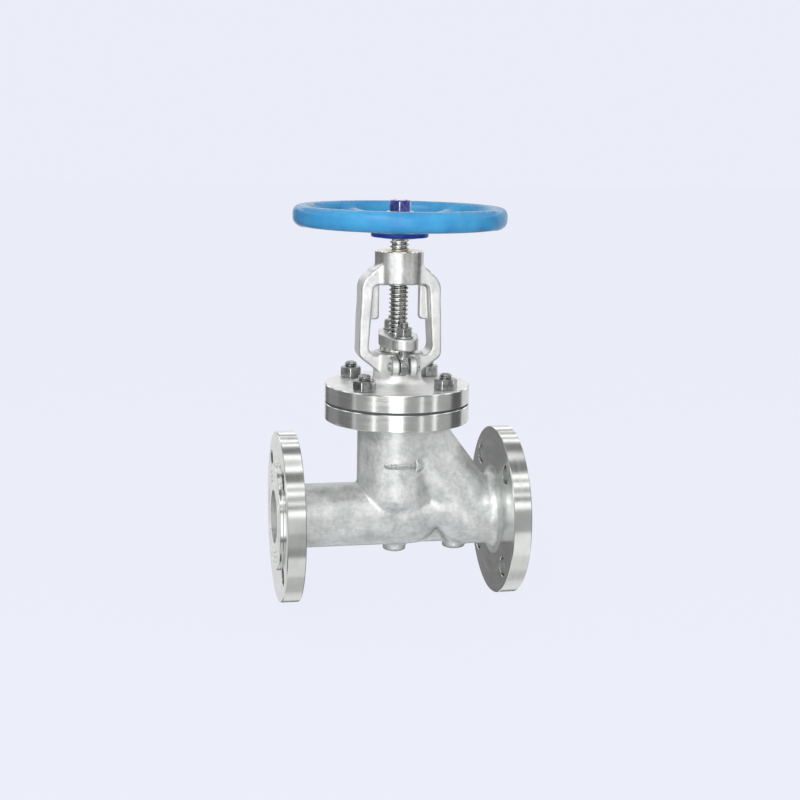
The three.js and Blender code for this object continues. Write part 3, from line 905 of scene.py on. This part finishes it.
def make_bonnet():
    obj = bonnet_field().surface("detailed_bonnet_yoke")
    dress(obj, YOKE_CAST, TURNED_Z, SMOOTH_CAST)
    cut(obj, bonnet_machining())
    combine(obj, spigot_piece(), "UNION")
    cut(obj, head_facing())
    cut(obj, hole(STEM_BORE_R, yoke_low[2], STUFFING_FLOOR_Z + 3, 0.5, 64))
    cut(obj, stuffing_box())
    cut(obj, hole(STEM_NUT_R + CLEARANCE, WINDOW_Z[1], HEAD_TOP_Z, 0.3, 96))
    x, y, radius = round_place("stem_nut_set_screw")
    low = heights("stem_nut_set_screw")[0] - CLEARANCE
    cut(obj, moved(hole(radius + CLEARANCE, low, HEAD_TOP_Z + 2, 0.01, 32), x, y))
    drill_for_studs(obj, *BONNET_FLANGE_Z, 0.4)
    for end in (-1, 1):
        pin = turned_to_x(hole(EYE_PIN_HOLE_R, -20, 20, 0.01, 48))
        cut(obj, moved(pin, 0, end * EYE_Y, EYE_Z))
    for polygon in obj.data.polygons:
        x, y, z = polygon.center / MM
        round_head = abs(math.hypot(x, y) - NECK_R) < 0.4 and z > WINDOW_Z[1] + 0.8
        if polygon.material_index == 0 and round_head:
            polygon.material_index = 2
    stand_for(obj, "cast_steel", "bonnet_yoke")


# ---------------------------------------------------------------- fasteners, gland and packing


def make_bonnet_fasteners():
    for i, turn in enumerate(NUT_TURNS, 1):
        x, y, radius = round_place(f"bonnet_stud_{i}")
        z0, z1 = heights(f"bonnet_stud_{i}")
        stud = screw_rod(f"threaded_stud_{i}", radius, STUD_THREAD_DEPTH, STUD_PITCH, z0, z1)
        placed(stud, Matrix.Rotation(math.radians(STUD_TURN * i), 4, "Z"))
        dress(moved(stud, x, y), FASTENER)
        stand_for(stud, "fastener_steel", f"bonnet_stud_{i}")
        make_nut(f"chamfered_nut_{i}", f"bonnet_nut_{i}", STUD_NUT_FLATS, radius, turn)


def make_nut(name, node, flats, thread_r, turn, material=FASTENER, foot=0.5):
    x, y, _ = round_place(node)
    nut = hex_nut(name, flats, thread_r + 0.15, *heights(node), x, y, turn, foot)
    stand_for(dress(nut, material), "fastener_steel", node)


def plain_ring(name, node, slot, material, inner, c, segments=96):
    """A washer or packing ring with chamfers of c on its four edges."""
    x, y, outer = round_place(node)
    z0, z1 = heights(node)
    profile = [
        [inner + c, z0], [outer - c, z0], [outer, z0 + c], [outer, z1 - c],
        [outer - c, z1], [inner + c, z1], [inner, z1 - c], [inner, z0 + c],
    ]
    ring = dress(moved(turned(name, profile, segments), x, y), material)
    stand_for(ring, slot, node)


def make_gasket():
    inner, outer = CHAMBER_R + 0.6, round_place("bonnet_gasket")[2]
    z0, z1 = heights("bonnet_gasket")
    steps = np.linspace(0, math.pi, 7)
    middle, half = (z0 + z1) / 2, (z1 - z0) / 2
    profile = [[outer - half + half * math.sin(a), middle - half * math.cos(a)] for a in steps]
    profile += [[inner, z1], [inner, z0]]
    gasket = dress(turned("graphite_gasket", profile, 160), GRAPHITE)
    drill_for_studs(gasket, z0, z1, 0.01, 32, 0)
    stand_for(gasket, "graphite", "bonnet_gasket")


def make_gland_flange():
    z0, z1 = GLAND_Z
    field = Field((-21, -44, z0 - 3), (21, 44, z1 + 5), SMALL_VOXEL)
    x, y, z = field.grid
    slope = math.degrees(math.asin((GLAND_MIDDLE_R - GLAND_END_R) / EYE_Y))
    outline = arc(0, EYE_Y, GLAND_END_R, slope, 180 - slope, 24)
    outline += arc(0, 0, GLAND_MIDDLE_R, 180 - slope, 180 + slope, 4)
    outline += arc(0, -EYE_Y, GLAND_END_R, 180 + slope, 360 - slope, 24)
    outline += arc(0, 0, GLAND_MIDDLE_R, -slope, slope, 4)
    flat = polygon_distance(outline, x[:, :, 0], y[0, :, 0][None, :])[:, :, None]
    middle = (z0 + z1) / 2
    field.add(extruded(flat, z - middle, z1 - middle, 1.4))
    flange = dress(field.surface("detailed_gland_flange"), SMOOTH_CAST, TURNED_Z)
    cut(flange, hole(STEM_BORE_R, z0, z1, 0.8, 64))
    for end in (-1, 1):
        cut(flange, moved(hole(GLAND_HOLE_R, z0, z1, 0.4, 48), 0, end * EYE_Y))
    stand_for(flange, "cast_steel", "gland_flange")


def make_gland_bush():
    z0, z1 = heights("gland_bush")
    inner, body, outer = STEM_BORE_R, STUFFING_BOX_R - 0.3, round_place("gland_bush")[2]
    collar = NECK_TOP_Z + 1
    profile = [
        [inner + 0.5, z0], [body - 0.8, z0], [body, z0 + 0.8], [body, collar],
        [outer - 0.4, collar], [outer, collar + 0.4], [outer, z1 - 0.4],
        [outer - 0.4, z1], [inner, z1], [inner, z0 + 0.5],
    ]
    bush = dress(turned("turned_gland_bush", profile, 96), TURNED_Z)
    stand_for(bush, "machined_steel", "gland_bush")


def make_eye_bolt(name, end):
    y = end * EYE_Y
    field = Field((-8, y - 11, EYE_Z - 11), (8, y + 11, EYE_Z + 20), SMALL_VOXEL)
    gx, gy, gz = field.grid
    field.add(drum(radial(gy - y, gz - EYE_Z), gx, EYE_BOLT_EYE_R, EYE_BOLT_HALF, 1.2))
    field.add(drum(radial(gx, gy - y), gz - (EYE_Z + 10), EYE_BOLT_R, 6.5), 3.0)
    bolt = dress(field.surface(f"detailed_eye_bolt_{name}"), FASTENER, THREAD)
    z0, z1 = EYE_Z + 12, heights(f"eye_bolt_{name}")[1]
    shank = moved(screw_rod("shank", EYE_BOLT_R, 0.7, 1.25, z0, z1, 0.9, 32), 0, y)
    paint_faces(dress(shank, FASTENER, THREAD), 1)
    combine(bolt, shank, "UNION")
    pin = turned_to_x(hole(EYE_PIN_HOLE_R, -6, 6, 0.01, 48, 0))
    cut(bolt, moved(pin, 0, y, EYE_Z))
    stand_for(bolt, "fastener_steel", f"eye_bolt_{name}")
    low, high = corners(f"eye_bolt_pin_{name}")
    half, radius = high[0], (high - low)[2] / 2
    profile = [[0, -half], [radius - 0.8, -half], [radius, -half + 0.8]]
    profile += [[radius, half - 0.8], [radius - 0.8, half], [0, half]]
    rod = turned_to_x(turned(f"chamfered_pin_{name}", profile, 48))
    dress(moved(rod, 0, y, EYE_Z), FASTENER)
    stand_for(rod, "fastener_steel", f"eye_bolt_pin_{name}")


def make_gland_nut(name):
    nut, washer = f"gland_nut_{name}", f"gland_washer_{name}"
    make_nut(f"chamfered_{nut}", nut, GLAND_NUT_FLATS, EYE_BOLT_R, GLAND_NUT_TURN, foot=0.4)
    bore = EYE_BOLT_R + CLEARANCE
    plain_ring(f"flat_{washer}", washer, "fastener_steel", FASTENER, bore, 0.25, 64)


def make_packing():
    inner = STEM_BORE_R
    plain_ring("flat_packing_washer", "packing_washer", "machined_steel", TURNED_Z, inner, 0.3)
    for i in range(1, 5):
        plain_ring(f"moulded_packing_{i}", f"packing_ring_{i}", "graphite", GRAPHITE, inner, 0.9)


# ---------------------------------------------------------------- stem, disc and stem nut


def make_stem():
    foot, tip = heights("stem")
    shoulder, square_top = HUB_Z[0] - 0.2, HUB_Z[1] - 0.2
    r, button, z0, z1 = STEM_R, round_place("stem")[2], STEM_BUTTON_TOP, STEM_THREAD_Z
    profile = [
        [0, foot], [button - 0.8, foot], [button, foot + 0.8], [button, z0 - 0.5],
        [button - 0.5, z0], [r + 0.6, z0], [r, z0 + 0.6], [r, z1 - 2], [r - 2, z1], [0, z1],
    ]
    stem = dress(turned("threaded_stem", profile, 96), TURNED_Z, THREAD)
    thread = threaded("thread", r, r - STEM_THREAD_DEPTH, STEM_PITCH, z1 - 6, shoulder, 64)
    trim = [
        [0, z1 - 5], [r - 2, z1 - 5], [r + 0.05, z1 - 1.5],
        [r + 0.05, shoulder - 2], [r - 2, shoulder], [0, shoulder],
    ]
    combine(thread, turned("trim", trim, 96), "INTERSECT")
    paint_faces(dress(thread, TURNED_Z, THREAD), 1)
    combine(stem, thread, "UNION")
    half, near = STEM_SQUARE_HALF, STEM_SQUARE_HALF - 0.8
    ring = [[half, -near], [half, near], [near, half], [-near, half]]
    ring += [[-x, -y] for x, y in ring]
    square = prism("square", ring, shoulder - 3, square_top)
    combine(stem, dress(square, TURNED_Z, THREAD), "UNION")
    size = (WHEEL_STUD_R, STUD_THREAD_DEPTH, STUD_PITCH, square_top - 3, tip, 0.6)
    combine(stem, dress(screw_rod("wheel_stud", *size), TURNED_Z, THREAD), "UNION")
    stand_for(stem, "machined_steel", "stem")


def make_stem_nut():
    z0, z1 = heights("stem_nut")
    inner, outer = STEM_BORE_R, round_place("stem_nut")[2]
    profile = [
        [inner + 0.6, z0], [outer - 0.5, z0], [outer, z0 + 0.5], [outer, z1 - 0.3],
        [outer - 0.3, z1], [inner + 1.0, z1], [inner, z1 - 1.0], [inner, z0 + 0.6],
    ]
    nut = dress(turned("turned_stem_nut", profile, 96), BRASS)
    x, y, radius = round_place("stem_nut_set_screw")
    z0, z1 = heights("stem_nut_set_screw")
    cut(nut, moved(hole(radius + CLEARANCE, z0 - CLEARANCE, z1 + 3, 0.01, 32, 0), x, y))
    stand_for(nut, "stem_nut_brass", "stem_nut")
    profile = [
        [0, z0], [radius - 0.5, z0], [radius, z0 + 0.5],
        [radius, z1 - 0.3], [radius - 0.3, z1], [0, z1],
    ]
    screw = turned("slotted_set_screw", profile, 40)
    cut(screw, prism("slot", rectangle(9, 0.4), z1 - 1.2, z1 + 1))
    dress(moved(placed(screw, Matrix.Rotation(0.6, 4, "Z")), x, y), FASTENER)
    stand_for(screw, "fastener_steel", "stem_nut_set_screw")


def make_disc():
    radius = round_place("disc")[2]
    z0, z1 = heights("disc")
    floor, bore, boss = 45.2, 12.4, 17
    profile = [
        [0, z0], [radius - 1, z0], [radius, z0 + 1], [radius, z0 + 7], [radius - 1, z0 + 8],
        *arc(boss + 3, z0 + 11, 3, -90, -180, 6), [boss, z1 - 0.6], [boss - 0.6, z1],
        [bore + 0.5, z1], [bore, z1 - 0.5], [bore, floor], [0, floor],
    ]
    disc = dress(turned("turned_disc", profile, 128), TURNED_Z)
    stand_for(disc, "machined_steel", "disc")
    low, high = heights("disc_nut")
    seam = z1 + 0.2
    nut = dress(hex_nut("chamfered_disc_nut", 28, STEM_BORE_R, seam, high), TURNED_Z)
    sleeve = [[STEM_BORE_R, low], [bore - 0.7, low], [bore - 0.3, low + 0.4]]
    sleeve += [[bore - 0.3, seam + 1.5], [STEM_BORE_R, seam + 1.5]]
    combine(nut, turned("sleeve", sleeve, 96), "UNION")
    stand_for(nut, "machined_steel", "disc_nut")


# ---------------------------------------------------------------- handwheel


def rim_distance(about_z, z):
    """The rim: its section is a rounded rectangle, flatter than an ellipse."""
    middle, tall = sum(RIM_Z) / 2, (RIM_Z[1] - RIM_Z[0]) / 2
    power = 2.6
    across = np.abs(about_z - (WHEEL_R - RIM_HALF)) / RIM_HALF
    up = np.abs(z - middle) / tall
    return ((across ** power + up ** power) ** (1 / power) - 1) * min(RIM_HALF, tall)


def spoke_distance(grid, angle):
    """A spoke that rises and thins from the hub to the rim, and is narrowest half way."""
    x, y, z = grid
    c, s = on_circle(1, angle)
    along, side = x * c + y * s, x * s - y * c
    share = np.clip((along - SPOKE_RISE[0]) / (SPOKE_RISE[1] - SPOKE_RISE[0]), 0, 1)
    centre = SPOKE_Z[0] + (SPOKE_Z[1] - SPOKE_Z[0]) * share
    half = SPOKE_HALF_Z[0] + (SPOKE_HALF_Z[1] - SPOKE_HALF_Z[0]) * share
    width = SPOKE_HALF_WIDTH - SPOKE_WAIST * np.sin(share * math.pi)
    bar = extruded(np.abs(side) - width, z - centre, half, SPOKE_CORNER)
    return np.maximum(bar, np.maximum(SPOKE_ENDS[0] - along, along - SPOKE_ENDS[1]))


def make_handwheel():
    z0, z1 = HUB_Z
    wide = WHEEL_R + 3
    field = Field((-wide, -wide, z0 - 3), (wide, wide, RIM_Z[1] + 3), WHEEL_VOXEL)
    x, y, z = field.grid
    about_z = radial(x, y)
    field.add(rim_distance(about_z, z))
    for i in range(SPOKES):
        field.add(spoke_distance(field.grid, SPOKE_PHASE + 360 * i / SPOKES), 6)
    plate = drum(about_z, z - (z0 + 2.2), HUB_DISC_R, 2.2, 0.9)
    field.add(plate, 3)
    field.add(drum(about_z, z - (z0 + z1) / 2, HUB_R, (z1 - z0) / 2, 1.2), 5)
    wheel = dress(field.surface("enamelled_handwheel"), WHEEL_BLUE, HUB_BLUE)
    square = rectangle(HUB_SQUARE_HALF, HUB_SQUARE_HALF)
    cut(wheel, prism("square_hole", square, z0 - 2, z1 + 2))
    # Painted shade: faces low on the hub take the darker copy of the enamel.
    for polygon in wheel.data.polygons:
        px, py, pz = polygon.center / MM
        if math.hypot(px, py) < HUB_DISC_R + 1.5 and pz < z0 + 6:
            polygon.material_index = 1
    wheel.visible_glossy = False
    stand_for(wheel, "wheel_enamel", "handwheel", degrees=40)
    bore = WHEEL_STUD_R + CLEARANCE
    plain_ring("flat_wheel_washer", "handwheel_washer", "fastener_steel", TURNED_Z, bore, 0.3)
    size = (STUD_NUT_FLATS, WHEEL_STUD_R, WHEEL_NUT_TURN)
    make_nut("chamfered_wheel_nut", "handwheel_nut", *size, WHEEL_NUT)


# ---------------------------------------------------------------- studio


def make_camera():
    a, e, roll = map(math.radians, (CAMERA_AZIMUTH, CAMERA_ELEVATION, CAMERA_ROLL))
    back = Vector((math.sin(a) * math.cos(e), -math.cos(a) * math.cos(e), math.sin(e)))
    right = (-back).cross(Vector((0, 0, 1))).normalized()
    up = right.cross(-back)
    x = right * math.cos(roll) + up * math.sin(roll)
    y = back.cross(x)
    camera = bpy.data.objects.new("camera", bpy.data.cameras.new("camera"))
    camera.data.lens = CAMERA_LENS
    camera.data.sensor_width = 36
    aim = Matrix((x, y, back)).transposed().to_4x4()
    camera.matrix_world = Matrix.Translation(Vector(CAMERA_AT) * MM) @ aim
    scene.collection.objects.link(camera)
    scene.camera = camera


BACKDROP = (0.831, 0.847, 0.947)
FLOOR_HALF = 9000
LAMP_TARGET = (0, 0, 100)

# Bands of the studio that polished faces mirror, [from, to, level] in degrees: AROUND by azimuth
# from the camera's side, mirrored near HORIZON, and UPWARD by elevation, mirrored elsewhere
AROUND = [
    [-180, -157, 0.90], [-157, -138, 0.18], [-138, -105, 0.30], [-105, -73, 0.22],
    [-73, -67, 0.75], [-67, -38, 0.42], [-38, -33, 1.90], [-33, -10, 0.46],
    [-10, 10, 2.40], [10, 38, 0.42], [38, 42, 1.70], [42, 60, 0.46],
    [60, 65.6, 1.60], [65.6, 96, 0.46], [96, 125, 0.13], [125, 180, 0.80],
]
UPWARD = [
    [-90, -71, 0.60], [-71, -41, 0.85], [-41, -17, 0.14], [-17, 2, 1.60], [2, 13, 0.50],
    [13, 22, 1.80], [22, 29, 0.20], [29, 33, 1.60], [33, 41, 0.42], [41, 47, 1.80],
    [47, 52, 0.34], [52, 58, 1.80], [58, 74, 0.20], [74, 81, 1.80], [81, 90, 0.60],
]
HORIZON = -8
HORIZON_REACH = 22

# Bright panels over those bands: azimuths from and to, elevations from and to, level
PANELS = [[-45, 16, -8, 12, 2.0], [24, 46, -50, -18, 1.05]]


def bands_ramp(made, factor, bands, reach, blur):
    """Grey levels over a factor that runs from 0 at -reach degrees to 1 at reach."""
    ramp = made.node("ValToRGB", {0: factor})
    elements = ramp.color_ramp.elements
    elements.remove(elements[1])
    stops = []
    for low, high, level in bands:
        stops += [[low + blur, level], [high - blur, level]]
    for k, (angle, level) in enumerate(stops):
        place = (angle + reach) / (2 * reach)
        element = elements.new(place) if k else elements[0]
        element.position = place
        element.color = (level, level, level, 1)
    return ramp.outputs["Color"]


def make_world():
    """A studio of dark and bright bands, which only reflections see; the backdrop is plain."""
    world = bpy.data.worlds.new("studio")
    scene.world = world
    world.use_nodes = True
    world.node_tree.nodes.clear()
    made = Nodes(world.node_tree)
    calc = made.math
    towards = {"Vector": made.node("TexCoord").outputs["Generated"]}
    towards["Rotation"] = (0, 0, math.radians(-CAMERA_AZIMUTH))
    turn = made.node("Mapping", towards, vector_type="POINT")
    x, y, z = made.node("SeparateXYZ", {0: turn.outputs[0]}).outputs
    azimuth = calc("MULTIPLY", calc("ARCTAN2", x, calc("MULTIPLY", y, -1.0)), 180 / math.pi)
    elevation = calc("MULTIPLY", calc("ARCSINE", z), 180 / math.pi)
    across = calc("DIVIDE", calc("ADD", azimuth, 180.0), 360.0)
    up = calc("DIVIDE", calc("ADD", elevation, 90.0), 180.0)
    gap = calc("DIVIDE", calc("ABSOLUTE", calc("SUBTRACT", elevation, HORIZON)), HORIZON_REACH)
    near = calc("SUBTRACT", 1.0, calc("SMOOTH_MIN", 1.0, gap, 0.5))
    near = calc("MAXIMUM", calc("MINIMUM", calc("MULTIPLY", near, 4.0), 1.0), 0.0)
    level_around = bands_ramp(made, across, AROUND, 180, 0.6)
    lit = made.mix(near, bands_ramp(made, up, UPWARD, 90, 0.6), level_around)
    for left, right, low, high, level in PANELS:
        sides = [[-180, left, 0.0], [left, right, 1.0], [right, 180, 0.0]]
        ends = [[-90, low, 0.0], [low, high, 1.0], [high, 90, 0.0]]
        sides = bands_ramp(made, across, sides, 180, 1.5)
        ends = bands_ramp(made, up, ends, 90, 1.0)
        lit = made.mix(calc("MULTIPLY", sides, ends), lit, [level] * 3)
    mirrored = made.node("Background", {"Color": lit}).outputs[0]
    plain = made.node("Background", {"Color": (*BACKDROP, 1)}).outputs[0]
    seen = made.node("LightPath").outputs["Is Camera Ray"]
    choose = made.node("MixShader", {0: seen, 1: mirrored, 2: plain})
    made.node("OutputWorld", {0: choose.outputs[0]})


def make_lamp(name, at, size, power, mirrored=True):
    """A soft lamp aimed at the valve; when not mirrored it lights matt surfaces only."""
    lamp = bpy.data.objects.new(name, bpy.data.lights.new(name, "AREA"))
    lamp.data.shape = "RECTANGLE"
    lamp.data.size, lamp.data.size_y = size[0] * MM, size[1] * MM
    lamp.data.energy = power
    lamp.visible_camera = False
    lamp.visible_glossy = mirrored
    lamp.location = Vector(at) * MM
    aim = (Vector(LAMP_TARGET) - Vector(at)).normalized()
    lamp.rotation_mode = "QUATERNION"
    lamp.rotation_quaternion = aim.to_track_quat("-Z", "Y")
    scene.collection.objects.link(lamp)


def make_floor():
    points = [[x, y, body_low[2]] for x, y in rectangle(FLOOR_HALF, FLOOR_HALF)]
    floor = make_object("floor", points, [[0, 1, 2, 3]])
    paint = Finish("floor_paint", Base_Color=(0.02, 0.02, 0.022, 1), Roughness=1.0)
    paint.set(Specular_IOR_Level=0.0, Emission_Color=(*BACKDROP, 1), Emission_Strength=0.97)
    dress(floor, paint.material)
    floor.visible_glossy = False


make_camera()
make_world()
make_floor()
make_lamp("key", (-1100, -1500, 1300), (900, 900), 12)
make_lamp("front", (-500, -1900, 700), (1300, 1300), 46, False)
make_lamp("top", (0, -300, 2200), (2000, 2000), 12, False)
make_lamp("fill", (1700, -700, 800), (800, 1400), 5, False)

make_body()
make_bonnet()
make_bonnet_fasteners()
make_gasket()
make_gland_flange()
make_gland_bush()
for name, end in (("front", -1), ("rear", 1)):
    make_eye_bolt(name, end)
    make_gland_nut(name)
make_packing()
make_stem()
make_stem_nut()
make_disc()
make_handwheel()

scene.view_settings.view_transform = "Standard"
